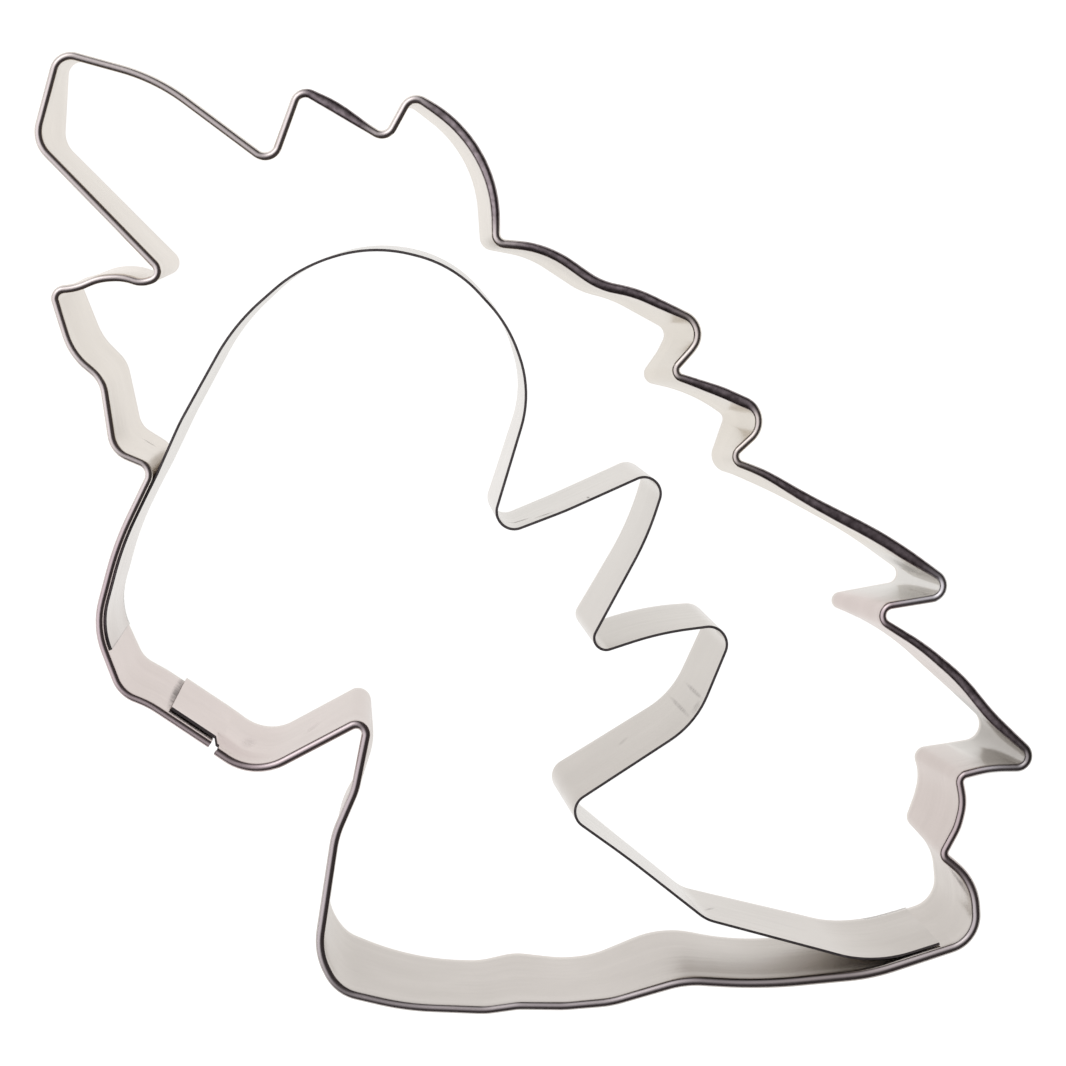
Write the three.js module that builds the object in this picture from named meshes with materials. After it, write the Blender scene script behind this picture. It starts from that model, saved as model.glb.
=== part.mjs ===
// Sheet-steel cookie cutter: a rolled-rim outer band, an inner band that draws the detail line,
// and the spot welds that hold them. Millimetres, +Z up, standing on the cutting edge.
import * as THREE from 'three';

// Overall
const LENGTH = 96.65;         // across the outermost bends of the outline, along x
const HEIGHT = 22;            // cutting edge to the top of the rolled rim
const INNER_DROP = 1.0;       // top of the inner band below the rim
const TAB_DROP = 2.0;         // top of the seam tab below the rim
const HEM_DEPTH = 1.6;        // depth of the curled rim

// Sheets and fits
const OUTER_SHEET = 0.3;
const INNER_SHEET = 0.25;
const HEM_GAP = 0.2;          // open space inside the curled rim
const WELD_GAP = 0.1;         // space between lapped sheets, filled by the weld nuggets

// Laps
const TAB_LENGTH = 5.0;       // seam tab inside the near end of the band
const TAB_LEAD = 0.25;        // tab straight on past the rim before it steps inward
const TAB_CLEAR = 0.1;        // tab straight again this far before the near end
const LEFT_FLANGE_LEAD = 2.7; // left flange end, before the chin bend
const LEFT_FLANGE_REACH = 5.4; // left flange, from the cheek bend to where it leaves the wall
const RIGHT_FLANGE_LEAD = 0.7;
const RIGHT_FLANGE_END = 7.4; // right flange end, from the rump bend

// Spot welds
const WELD_DIAMETER = 1.6;
const WELD_HEIGHTS = { upper: 15, lower: 6 };
const SEAM_WELD_AT = 2.6;     // along the seam from the near end
const LEFT_WELD_AT = 4.2;     // along the wall from the chin bend
const RIGHT_WELD_AT = 6.1;    // along the wall from the rump bend

// Fineness of the bends
const CHORD = 0.04;           // most that a facet leaves its bend
const TWIST = 0.4;            // most that a straight's foot swings between two stations

// Bends are x, y, radius at the middle of the rim, then how far the cutting edge has sprung
// sideways under that bend and, where it differs, the radius of the cutting edge.
// These four are where the laps sit.
const CHIN = [-41.85, -8.75, 8, 0.15, 0.3];
const CHEEK = [-39.7, -0.85, 30, 0.15, 0.3];
const BROW = [-36.15, 6.55, 1.2, 0.45, 0.55];
const RUMP = [32.85, -43.25, 20, 0.1, -0.5];

// Outer band, clockwise from the seam.
const OUTER_BENDS = [
  // seam and chin
  [-31.0, -20.2, 0, 0.32, 0.28],
  [-36.8, -16.25, 9, 0.32, 0.28],
  [-39.45, -15.2, 3.3, 0.45, 0.65],
  CHIN,
  // face
  CHEEK,
  BROW,
  [-39.95, 7.95, 2.6, 0.9, 1.2],
  [-40.9, 15.0, 3.2, 0.5, 0.8],
  [-43.65, 17.2, 6.5, 0.8, 1.0],
  [-45.5, 23.3, 0.9, 0.35, 0.8],
  [-43.2, 23.45, 5.5, 0.3, 1.3],
  [-41.2, 24.35, 5.5, 0.3, 1.2],
  [-38.85, 24.5, 5, 0.4, 1.0],
  [-37.1, 23.9, 2.2, 0.35, 0.9],
  [-34.8, 24.5, 0.9, 0.65, 0.75],
  // horn
  [-46.85, 37.2, 3, 0.35, 0.5],
  [-44.6, 45.65, 1.7, -1.3, 1.05],
  [-35.6, 43.0, 18, -0.5, 1.25],
  [-24.75, 35.05, 1.3, -0.7, 0.8],
  // ears
  [-22.1, 42.25, 1.1, -0.5, 1.1],
  [-13.9, 37.45, 1.15, -0.1, 1.0],
  [-11.55, 41.7, 1.3, -0.4, 0.7],
  // crest
  [-3.6, 37.4, 12.5, -1.05, -0.45],
  [-3.6, 27.55, 1, -0.4, 0],
  [1.3, 27.15, 10, -0.6, -0.5],
  [6.45, 23.7, 7, -0.5, -0.5],
  [9.8, 23.1, 12, -0.6, -0.75],
  // mane, lock by lock
  [16.4, 19.75, 1.45, -0.9, -0.7],
  [13.15, 15.2, 0.75, -0.75, -1.3],
  [18.25, 13.65, 16, -0.8, -0.8],
  [22.4, 11.15, 1.2, -1.0, -0.9],
  [18.65, 7.1, 0.8, 0.8, -1.8],
  [22.2, 5.8, 20, -0.7, -1.25],
  [26.4, 3.35, 60, -0.6, -0.7],
  [34.3, -0.65, 45, -0.7, -0.8],
  [41.65, -6.0, 1.3, -0.5, -0.8],
  [32.0, -7.55, 1, -1.05, -1.15, 0.4],
  [37.7, -11.05, 24, -0.2, -0.2],
  [41.7, -14.35, 18, -0.45, -0.45],
  [44.3, -17.7, 22, 0.3, -0.3],
  [49.8, -23.0, 1.15, 0.2, -0.15, 2],
  [44.3, -23.05, 12, -0.4, -1.1],
  [41.3, -23.8, 0.8, -0.6, -0.8],
  [41.8, -26.4, 5, -0.3, -0.5],
  [41.25, -28.75, 6, -0.3, -0.5],
  [39.75, -31.55, 0.8, 0.35, -0.1],
  [42.95, -34.25, 5.5, -0.1, -0.4],
  // base
  [43.3, -39.9, 3.3, 0.1, -0.5],
  RUMP,
  [22.25, -44.15, 50, 0, 0.1],
  [14.75, -43.7, 10, -0.4, 0.6],
  [7.55, -45.65, 11, -0.4, -0.4],
  [3.0, -46.0, 12, 0.9, -0.3],
  [-1.5, -45.9, 6, 0.6, 0.2],
  [-4.6, -46.3, 8, 0.1, -0.2],
  [-12.45, -45.9, 28, 1.0, -0.3],
  [-18.9, -44.3, 4, 0.7, 0.4],
  // neck and jaw, back to the seam
  [-20.8, -40.5, 6.5, -0.1, 0.3],
  [-19.05, -29.1, 9, 0.5, 0.6],
  [-17.15, -24.7, 7, 1.6, 0.4],
  [-15.65, -17.45, 1, -0.4, 0.1],
  [-26.85, -23.3, 5.2, 0.4, 0.4],
  [-30.4, -20.8, 0, 0.4, 0.4],
];

// Bends of the inner band between its two flanges, from the face to the base.
const INNER_BENDS = [
  [-33.7, 10.6, 20, 0.45, 0.2],
  [-28.45, 19.95, 20, 0.05, -0.2],
  [-22.2, 25.4, 15, -0.05, 0.1],
  [-15.25, 27.5, 13.5, -0.1, 0.3],
  [-7.6, 25.6, 12, 0.2, 0.95],
  [-2.35, 19.85, 13, 0.45, 0.3],
  [-0.1, 13.55, 11, 0.2, -0.3],
  [-4.4, -0.65, 1.7, -0.2, -0.35],
  [3.05, 2.05, 40, -0.2, 0],
  [13.4, 6.85, 1.6, -0.3, -0.1],
  [11.05, -0.4, 30, -0.15, -0.3],
  [4.7, -12.15, 1.16, -0.6, 0],
  [12.3, -9.75, 30, -0.3, 0.2],
  [19.7, -8.8, 1.75, 0, -0.2],
  [15.75, -18.6, 9.5, -0.4, 0.1],
  [2.7, -26.9, 1.7, -0.8, 0.2],
  [9.0, -31.45, 100, -0.7, -0.7],
  [16.75, -37.8, 4, -0.4, -0.95],
];
const FLANGE_BEND = { left: 20, right: 13 };

const LEVELS = ['rim', 'foot'];
const across = OUTER_BENDS.map(([x]) => x);
const OUTLINE_SCALE = LENGTH / (Math.max(...across) - Math.min(...across));
const INNER_FACE = -(OUTER_SHEET + HEM_GAP / 2);   // of the outer wall, from the rim middle
const OUTER_FACE = -HEM_GAP / 2;
const FLANGE_MIDDLE = -INNER_FACE + WELD_GAP + INNER_SHEET / 2;

function bend([x, y, r, dx, dy, footR = r]) {
  const rim = new THREE.Vector2(x, y).multiplyScalar(OUTLINE_SCALE);
  const foot = rim.clone().add(new THREE.Vector2(dx, dy));
  return { r: { rim: r * OUTLINE_SCALE, foot: footR * OUTLINE_SCALE }, rim, foot };
}

const heading = (a, b) => b.clone().sub(a).normalize();
const leftOf = (d) => new THREE.Vector2(-d.y, d.x);

// A bend point a given way along the straight from a to b, moved to the right of it.
function beside(a, b, along, right, r = 0) {
  const made = { r: { rim: r, foot: r } };
  for (const level of LEVELS) {
    const d = heading(a[level], b[level]);
    made[level] = a[level].clone().addScaledVector(d, along).addScaledVector(leftOf(d), -right);
  }
  return made;
}

// The bend b of the run a, b, c redrawn on the inside of the wall.
function nestedBend(a, b, c, inset) {
  const made = { r: {} };
  for (const level of LEVELS) {
    made.r[level] = b.r[level] - inset;
    const n1 = leftOf(heading(a[level], b[level]));
    const n2 = leftOf(heading(b[level], c[level]));
    const shift = n1.clone().add(n2).multiplyScalar(-inset / (1 + n1.dot(n2)));
    made[level] = b[level].clone().add(shift);
  }
  return made;
}

// Facets that keep an arc within CHORD of its bend.
function arcSteps({ r, turn }) {
  if (r === 0) return 0;
  const step = 2 * Math.acos(Math.max(0, 1 - CHORD / r));
  return Math.max(1, Math.ceil(Math.abs(turn) / step));
}

// Turns a list of bends into stations: a point and an outward normal at the rim and at the foot.
function stationsOf(bends) {
  const stations = [];
  bends.forEach((b, i) => {
    const before = bends[i - 1];
    const after = bends[i + 1];
    const corner = LEVELS.map((level) => {
      const d1 = before ? heading(before[level], b[level]) : heading(b[level], after[level]);
      const d2 = after ? heading(b[level], after[level]) : d1;
      return { d1, turn: Math.atan2(d1.cross(d2), d1.dot(d2)), at: b[level], r: b.r[level] };
    });
    const steps = Math.max(...corner.map(arcSteps));
    for (let k = 0; k <= steps; k += 1) {
      const station = { bend: i };
      LEVELS.forEach((level, side) => {
        const { d1, turn, at, r } = corner[side];
        const sign = Math.sign(turn) || 1;
        const start = at.clone().addScaledVector(d1, -r * Math.tan(Math.abs(turn) / 2));
        const n0 = leftOf(d1);
        const centre = start.addScaledVector(n0, sign * r);
        const n = n0.rotateAround(new THREE.Vector2(), steps ? (turn * k) / steps : turn / 2);
        station[level] = { p: centre.addScaledVector(n, -sign * r), n };
      });
      if (k === 0 && stations.length) stations.push(...between(stations[stations.length - 1], station));
      stations.push(station);
    }
  });
  return stations;
}

// Extra stations along a straight whose foot swings from one side of the rim to the other.
function between(a, b) {
  const swing = (s) => s.foot.p.clone().sub(s.rim.p);
  const steps = Math.ceil(swing(a).distanceTo(swing(b)) / TWIST);
  return Array.from({ length: Math.max(0, steps - 1) }, (_, k) => {
    const station = { bend: b.bend };
    LEVELS.forEach((level) => {
      station[level] = { p: a[level].p.clone().lerp(b[level].p, (k + 1) / steps), n: a[level].n };
    });
    return station;
  });
}

// Point of a wall at a station, u outward from the rim middle and z up.
function wallPoint(station, u, z) {
  const at = LEVELS.map((level) => station[level].p.clone().addScaledVector(station[level].n, u));
  const p = at[0].lerp(at[1], (HEIGHT - z) / HEIGHT);
  return [p.x, p.y, z];
}

// Collects rings of points and skins them into one closed shell.
class Shell {
  constructor() {
    this.points = [];
    this.faces = [];
  }

  add(point) {
    this.points.push(...point);
    return this.points.length / 3 - 1;
  }

  ring(station, loop) {
    return loop.map(([u, z]) => this.add(wallPoint(station, u, z)));
  }

  // Both faces of a wall are split along the same diagonal, so a twisted sheet keeps its thickness.
  join(a, b) {
    const z = (i) => this.points[3 * i + 2];
    a.forEach((_, i) => {
      const j = (i + 1) % a.length;
      if (z(a[j]) > z(a[i])) this.faces.push(a[i], a[j], b[i], a[j], b[j], b[i]);
      else this.faces.push(a[i], a[j], b[j], a[i], b[j], b[i]);
    });
  }

  // Closes a ring whose loop runs anticlockwise when looked at against the sweep.
  cap(ring, loop, faceForward) {
    const flat = loop.map(([u, z]) => new THREE.Vector2(u, z));
    for (const [a, b, c] of THREE.ShapeUtils.triangulateShape(flat, [])) {
      const area = flat[b].clone().sub(flat[a]).cross(flat[c].clone().sub(flat[a]));
      const ordered = area > 0 === faceForward ? [a, b, c] : [a, c, b];
      this.faces.push(...ordered.map((i) => ring[i]));
    }
  }

  geometry() {
    const g = new THREE.BufferGeometry();
    g.setAttribute('position', new THREE.Float32BufferAttribute(this.points, 3));
    g.setIndex(this.faces);
    g.computeVertexNormals();
    return g;
  }
}

// Cross-section of the outer band: wall, open curl over the top, short return leg.
function hemLoop() {
  const crown = HEIGHT + INNER_FACE;
  const tabTop = HEIGHT - TAB_DROP;
  const arc = (radius, from, to, steps) => Array.from({ length: steps + 1 }, (_, k) => {
    const a = from + ((to - from) * k) / steps;
    return [radius * Math.cos(a), crown + radius * Math.sin(a)];
  });
  return [
    [INNER_FACE, 0],
    [OUTER_FACE, 0],
    [OUTER_FACE, tabTop],
    ...arc(HEM_GAP / 2, Math.PI, 0, 2),
    [HEM_GAP / 2, HEIGHT - HEM_DEPTH],
    [-INNER_FACE, HEIGHT - HEM_DEPTH],
    ...arc(-INNER_FACE, 0, Math.PI, 6),
    [INNER_FACE, tabTop],
  ];
}

function outerBand(rim, tab) {
  const shell = new Shell();
  const loop = hemLoop();
  const lower = [0, 1, 2, loop.length - 1];
  const stations = stationsOf([...rim, ...tab]);
  const onTab = (s) => s.bend >= rim.length;
  const rings = stations.filter((s) => !onTab(s)).map((s) => shell.ring(s, loop));
  rings.slice(1).forEach((ring, i) => shell.join(rings[i], ring));
  shell.cap(rings[0], loop, false);
  const last = rings[rings.length - 1];
  shell.cap(last.slice(2), loop.slice(2), true);
  const tabLoop = lower.map((i) => loop[i]);
  let ring = lower.map((i) => last[i]);
  for (const station of stations.filter(onTab)) {
    const next = shell.ring(station, tabLoop);
    shell.join(ring, next);
    ring = next;
  }
  shell.cap(ring, tabLoop, true);
  return shell.geometry();
}

function innerBand(bends) {
  const shell = new Shell();
  const half = INNER_SHEET / 2;
  const top = HEIGHT - INNER_DROP;
  const loop = [[-half, 0], [half, 0], [half, top], [-half, top]];
  const rings = stationsOf(bends).map((s) => shell.ring(s, loop));
  rings.slice(1).forEach((ring, i) => shell.join(rings[i], ring));
  shell.cap(rings[0], loop, false);
  shell.cap(rings[rings.length - 1], loop, true);
  return shell.geometry();
}

// A flat round nugget filling the gap beside the straight wall from a to b.
function nugget(a, b, along, z, inset) {
  const shell = new Shell();
  const sides = 16;
  const radius = WELD_DIAMETER / 2;
  const n = {};
  LEVELS.forEach((level) => { n[level] = leftOf(heading(a[level], b[level])); });
  const disc = (u) => Array.from({ length: sides }, (_, k) => {
    const turn = (2 * Math.PI * k) / sides;
    const spot = beside(a, b, along + radius * Math.cos(turn), 0);
    const station = {};
    LEVELS.forEach((level) => { station[level] = { p: spot[level], n: n[level] }; });
    return shell.add(wallPoint(station, u, z + radius * Math.sin(turn)));
  });
  const outer = disc(-inset);
  const inner = disc(-inset - WELD_GAP);
  shell.join(outer, inner);
  for (let k = 1; k < sides - 1; k += 1) {
    shell.faces.push(outer[0], outer[k + 1], outer[k]);
    shell.faces.push(inner[0], inner[k], inner[k + 1]);
  }
  return shell.geometry();
}

const outline = OUTER_BENDS.map(bend);
const [near, nearNext] = outline;
const [rimBefore, rimEnd] = outline.slice(-2);

// The tab goes straight on from the rim's far end, steps in by one sheet and laps the near end.
const tabInset = OUTER_SHEET + WELD_GAP;
const tab = [
  beside(rimEnd, rimBefore, -TAB_LEAD, 0),
  beside(near, nearNext, -TAB_CLEAR, tabInset),
  beside(near, nearNext, TAB_LENGTH, tabInset),
];

const placeOf = (named) => OUTER_BENDS.indexOf(named);
const [jaw, chin, cheek, brow] = outline.slice(placeOf(CHIN) - 1, placeOf(BROW) + 1);
const [rumpBack, rump] = outline.slice(placeOf(RUMP) - 1, placeOf(RUMP) + 1);
const detail = [
  beside(chin, jaw, LEFT_FLANGE_LEAD * OUTLINE_SCALE, -FLANGE_MIDDLE),
  nestedBend(jaw, chin, cheek, FLANGE_MIDDLE),
  nestedBend(chin, cheek, brow, FLANGE_MIDDLE),
  beside(cheek, brow, LEFT_FLANGE_REACH * OUTLINE_SCALE, FLANGE_MIDDLE, FLANGE_BEND.left),
  ...INNER_BENDS.map(bend),
  beside(rump, rumpBack, RIGHT_FLANGE_LEAD * OUTLINE_SCALE, -FLANGE_MIDDLE, FLANGE_BEND.right),
  beside(rump, rumpBack, RIGHT_FLANGE_END * OUTLINE_SCALE, -FLANGE_MIDDLE),
];

const steel = (name, colour, roughness) => new THREE.MeshStandardMaterial({
  name, color: new THREE.Color(colour), roughness, metalness: 1,
});

const cutter = new THREE.Group();
cutter.name = 'cookie_cutter';

function piece(name, geometry, material) {
  const mesh = new THREE.Mesh(geometry, material);
  mesh.name = name;
  cutter.add(mesh);
}

piece('outer_band', outerBand(outline, tab), steel('rolled_sheet', '#cdc8c4', 0.34));
piece('inner_band', innerBand(detail), steel('strip_sheet', '#d2cdc9', 0.38));
for (const [level, z] of Object.entries(WELD_HEIGHTS)) {
  const weld = () => steel('weld', '#8f8a86', 0.55);
  const seam = nugget(near, nearNext, SEAM_WELD_AT, z, -INNER_FACE);
  const left = nugget(chin, cheek, LEFT_WELD_AT * OUTLINE_SCALE, z, -INNER_FACE);
  const rightAlong = rump.rim.distanceTo(rumpBack.rim) - RIGHT_WELD_AT * OUTLINE_SCALE;
  const right = nugget(rumpBack, rump, rightAlong, z, -INNER_FACE);
  piece(`seam_weld_${level}`, seam, weld());
  piece(`left_weld_${level}`, left, weld());
  piece(`right_weld_${level}`, right, weld());
}

// The origin sits under the middle of the outline, on the cutting edge.
const box = new THREE.Box3().setFromObject(cutter);
const middle = box.getCenter(new THREE.Vector3());
cutter.children.forEach((mesh) => mesh.geometry.translate(-middle.x, -middle.y, 0));

export default cutter;
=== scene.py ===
"""A sheet-steel cookie cutter on a white table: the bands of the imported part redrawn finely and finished."""

import functools
import math

import bpy
import numpy as np
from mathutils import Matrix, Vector


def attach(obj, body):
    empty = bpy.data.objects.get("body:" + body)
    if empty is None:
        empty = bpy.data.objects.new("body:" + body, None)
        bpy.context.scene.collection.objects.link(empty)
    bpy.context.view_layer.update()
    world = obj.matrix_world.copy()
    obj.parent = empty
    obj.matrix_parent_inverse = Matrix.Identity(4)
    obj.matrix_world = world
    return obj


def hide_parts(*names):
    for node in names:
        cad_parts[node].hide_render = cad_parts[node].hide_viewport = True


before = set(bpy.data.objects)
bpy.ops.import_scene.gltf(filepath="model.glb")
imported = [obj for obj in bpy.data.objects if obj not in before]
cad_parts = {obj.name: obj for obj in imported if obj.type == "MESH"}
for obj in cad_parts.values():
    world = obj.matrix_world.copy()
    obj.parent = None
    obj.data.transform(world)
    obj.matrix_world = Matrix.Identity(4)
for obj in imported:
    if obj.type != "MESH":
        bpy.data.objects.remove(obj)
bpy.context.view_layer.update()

MM = 0.001

# Heights and sheets, in millimetres, as in the solids
HEIGHT = 22.0
INNER_TOP = 21.0
TAB_TOP = 20.0
HEM_FOOT = 20.4
OUTER_SHEET = 0.3
INNER_SHEET = 0.25
HEM_GAP = 0.2
WELD_GAP = 0.1

# Laps, along the wall from the bend that each one names
TAB_LENGTH = 5.0
TAB_LEAD = 0.25
TAB_CLEAR = 0.1
LEFT_FLANGE_LEAD = 2.7
LEFT_FLANGE_REACH = 5.4
RIGHT_FLANGE_LEAD = 0.7
RIGHT_FLANGE_END = 7.4
LEFT_FLANGE_BEND = 20
RIGHT_FLANGE_BEND = 13

# Fineness of the redrawn sheet
ARC_STEP = math.radians(5)
ARC_PITCH = 0.7
STRAIGHT_PITCH = 1.0
WALL_PITCH = 1.25
EDGE_BREAK = 0.04
CURL_STEPS = 20
BORE_STEPS = 6
SHARP_ANGLE = math.radians(40)

# Straights just below the curl, on the wall and on the return leg
WALL_LEAD, LEG_LEAD = 0.3, 0.6

# Bends are x, y, radius at the middle of the rim, then the spring of the cutting edge
# and, where it differs, the radius of the cutting edge.
CHIN = (-41.85, -8.75, 8, 0.15, 0.3)
CHEEK = (-39.7, -0.85, 30, 0.15, 0.3)
BROW = (-36.2, 6.36, 1.2, 0.5, 0.67)
RUMP = (32.85, -43.15, 20, 0.1, -0.6)
FIRST_EAR = (-22.1, 42.25, 1.1, -0.5, 1.1)
EAR_VALLEY = (-13.9, 37.45, 1.15, -0.1, 1.0)
SECOND_EAR = (-11.55, 41.7, 1.3, -0.4, 0.7)
CREST = (-3.55, 37.16, 12.5, -1.1, -0.3)
CREST_FOOT = (-3.57, 27.67, 1, -0.43, -0.12)
FIRST_TIP = (16.6, 19.85, 2, -1.4, -0.8, 1.45)
FIRST_VALLEY = (13.1, 15.25, 0.75, -0.9, -1.2)
SECOND_TIP = (23.45, 11.3, 2.2, -2.45, -1.0, 1.1)
SECOND_VALLEY = (18.75, 7.07, 0.8, 0.51, -1.85, 1.5)
THIRD_TIP = (41.65, -6.0, 1.3, -0.85, -0.85)
THIRD_VALLEY = (32.0, -7.55, 1, -1.2, -1.1, 0.55)
CORNER = (43.3, -39.9, 3.3, 0.1, -0.5)
BASE = (3.0, -46.0, 12, 0.9, -0.3)
JAW = (-26.85, -23.3, 5.2, 0.4, 0.4)
NECK = (-20.8, -40.5, 6.5, -0.1, 0.3)
LAST_TIP = (49.8, -23.0, 1.15, 0.2, -0.15, 2)

# Outer band, clockwise from the seam
OUTER_BENDS = [
    # seam and chin
    (-31.03, -20.19, 0, 0.32, 0.28),
    (-36.8, -16.25, 9, 0.32, 0.28),
    (-39.45, -15.2, 3.3, 0.45, 0.65),
    CHIN,
    # face
    CHEEK,
    BROW,
    (-39.95, 7.95, 2.6, 0.9, 1.2),
    (-40.9, 14.78, 3.2, 0.5, 0.92),
    (-43.75, 17.1, 6.5, 0.9, 1.1),
    (-45.58, 23.22, 0.9, 0.43, 0.88),
    (-43.2, 23.45, 5.5, 0.3, 1.3),
    (-41.2, 24.35, 5.5, 0.3, 1.2),
    (-38.85, 24.5, 5, 0.4, 1.0),
    (-37.1, 23.9, 2.2, 0.35, 0.9),
    (-34.9, 24.65, 0.9, 0.75, 0.6),
    # horn
    (-47.0, 37.2, 3, 0.5, 0.5),
    (-44.65, 45.58, 1.7, -1.25, 1.12),
    (-35.5, 43.08, 18, -0.6, 1.17),
    (-24.75, 35.05, 1.3, -0.7, 0.8),
    # ears
    FIRST_EAR,
    EAR_VALLEY,
    SECOND_EAR,
    # crest
    CREST,
    CREST_FOOT,
    (1.3, 27.25, 10, -0.6, -0.6),
    (6.45, 23.7, 7, -0.5, -0.5),
    (9.8, 23.1, 12, -0.6, -0.75),
    # mane, lock by lock
    FIRST_TIP,
    (15.25, 17.62, 4, -1.25, -1.0),
    FIRST_VALLEY,
    (18.25, 13.65, 16, -0.8, -0.8),
    SECOND_TIP,
    SECOND_VALLEY,
    (22.2, 5.8, 20, -0.7, -1.25, 10),
    (26.4, 3.35, 60, -0.6, -0.7),
    (34.3, -0.65, 45, -0.85, -0.9),
    THIRD_TIP,
    THIRD_VALLEY,
    (37.7, -11.05, 24, -0.55, -0.25),
    (41.7, -14.35, 18, -0.7, -0.5),
    (44.3, -17.7, 22, 0.2, -0.3),
    LAST_TIP,
    (44.3, -23.05, 12, -0.4, -1.1),
    (41.3, -23.8, 0.8, -0.6, -0.8),
    (41.8, -26.4, 5, -0.3, -0.5),
    (41.25, -28.75, 6, -0.3, -0.5),
    (39.75, -31.55, 0.8, 0.35, -0.1),
    (42.95, -34.25, 5.5, -0.1, -0.4),
    # base
    CORNER,
    RUMP,
    (22.25, -44.08, 50, 0, -0.67, 28),
    (14.75, -43.6, 10, -0.4, 0.5),
    (7.55, -45.65, 11, -0.4, -0.4),
    BASE,
    (-1.5, -45.9, 6, 0.6, 0.2),
    (-4.6, -46.3, 8, 0.1, -0.2),
    (-12.45, -45.9, 28, 1.0, -0.3),
    (-18.9, -44.3, 4, 0.7, 0.9),
    # neck and jaw, back to the seam
    NECK,
    (-19.05, -29.1, 9, 0.5, 0.6),
    (-17.15, -24.7, 7, 1.6, 0.4),
    (-15.65, -17.45, 1, -0.4, 0.1),
    JAW,
    (-30.43, -20.79, 0, 0.4, 0.4),
]

# Inner band between its two flanges, from the face to the base
INNER_BENDS = [
    (-33.7, 10.6, 20, 0.45, 0.2),
    (-28.45, 19.95, 20, 0.05, -0.2),
    (-22.2, 25.4, 15, -0.05, 0.1),
    (-15.25, 27.5, 13.5, -0.1, 0.3),
    (-7.6, 25.6, 12, 0.2, 0.95),
    (-2.35, 19.85, 13, 0.45, 0.3),
    (-0.1, 13.55, 11, 0.2, -0.3),
    (-4.4, -0.75, 1.7, -0.2, -0.3),
    (3.05, 2.05, 40, -0.2, 0),
    (13.32, 6.63, 1.6, -0.22, 0.05),
    (11.05, -0.4, 30, -0.15, -0.3),
    (4.7, -12.2, 1.16, -0.6, 0),
    (12.3, -9.75, 30, -0.3, 0.2),
    (19.76, -8.8, 1.75, -0.06, -0.2),
    (15.75, -18.6, 9.5, -0.4, 0.1),
    (2.82, -27.03, 1.7, -0.92, 0.28),
    (9.0, -31.45, 100, -0.7, -0.7),
    (16.9, -37.75, 4, -0.55, -1.0),
]

# Radius of the rolled rim outside, from bend to bend
CURLS = [
    (CHIN, 0.37),
    (BROW, 0.36),
    (CREST, 0.4),
    (CREST_FOOT, 0.42),
    (FIRST_VALLEY, 0.38),
    (SECOND_VALLEY, 0.36),
    (THIRD_TIP, 0.38),
    (THIRD_VALLEY, 0.36),
    (LAST_TIP, 0.39),
    (CORNER, 0.45),
    (RUMP, 0.5),
    (BASE, 0.43),
    (NECK, 0.43),
    (JAW, 0.43),
]

# Stretches of the rim that were rolled looser, with a painted dark reflection on their top: the ears and the
# upper side of each lock of the mane, with how far each swells inward, or outward where less than 0, where,
# and how dark the painted reflection is
EARLY, EVEN, LATE = (0.2, 0.3), (0.45, 0.5), (0.6, 0.75)
DARK_RIMS = [
    (FIRST_EAR, EAR_VALLEY, -0.3, EVEN, 1.0),
    (SECOND_EAR, CREST_FOOT, 0.14, EARLY, 0.9),
    (CREST_FOOT, FIRST_TIP, 0.15, LATE, 1.0),
    (FIRST_VALLEY, SECOND_TIP, 0.3, LATE, 1.0),
    (SECOND_VALLEY, THIRD_TIP, 0.42, LATE, 1.0),
    (THIRD_VALLEY, LAST_TIP, 0.26, LATE, 1.0),
]
DARK_RISE, DARK_FALL = (0.0, 0.16), (0.84, 1.0)
SWELL_FROM, SWELL_FULL = 8.0, 20.0
# Heights over which the painted dark reflection sets in on the top of the rim
RIM_REFLECTION_FROM, RIM_REFLECTION_FULL = 20.9, 21.4

# The wall that leans in before the tab, at its foot and its top, over the run and up to the height given
TAB_DRIFT = (0.4, 0.558)
TAB_EASE = 7.0
LEAN_FULL = 17.0

# The undercut of the inner face below the curl: how deep, where it starts and is full, and the height of
# the one point of the section between them
UNDERCUT = 0.07
UNDERCUT_FROM, UNDERCUT_FULL = 21.2, 19.2
UNDERCUT_MIDDLE = 20.6

# The flanges pressed to the wall, their ends thinned at the foot, and a painted highlight along the top of the
# left flange
PRESS_LEFT, PRESS_RIGHT = 0.095, 0.03
PRESS_EASE = 3.0
FEATHER_LENGTH = 6.0
FEATHER_THIN = 0.32
FEATHER_SHIFT = 0.155
FEATHER_TOP = (1.0, 15.0)
EDGE_HIGHLIGHT_LAP = (1.0, 2.5)
EDGE_HIGHLIGHT_FADE = (7.0, 2.5)

INNER_FACE = -(OUTER_SHEET + HEM_GAP / 2)
OUTER_FACE = -HEM_GAP / 2
FLANGE_MIDDLE = -INNER_FACE + WELD_GAP + INNER_SHEET / 2
TAB_INSET = OUTER_SHEET + WELD_GAP


class Bend:
    """A bend of a band: its corner and radius at the rim, level 0, and at the cutting edge, level 1."""

    def __init__(self, corners, radii):
        self.at = np.array(corners, float)
        self.r = np.array(radii, float)


def drawn(x, y, r, dx, dy, foot_r=None):
    """A bend as the lists above give it."""
    return Bend([(x, y), (x + dx, y + dy)], (r, r if foot_r is None else foot_r))


def heading(a, b):
    d = b - a
    return d / np.linalg.norm(d)


def left_of(d):
    return np.array([-d[1], d[0]])


def beside(a, b, along, right, r=0):
    """A bend a given way along the straight from a to b, moved to the right of it."""
    corners = []
    for p, q in zip(a.at, b.at):
        d = heading(p, q)
        corners.append(p + along * d - right * left_of(d))
    return Bend(corners, (r, r))


def nested(a, b, c, inset):
    """The bend b of the run a, b, c redrawn on the inside of the wall."""
    corners = []
    for p, q, s in zip(a.at, b.at, c.at):
        n1, n2 = left_of(heading(p, q)), left_of(heading(q, s))
        corners.append(q - (n1 + n2) * inset / (1 + n1 @ n2))
    return Bend(corners, b.r - inset)


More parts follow.
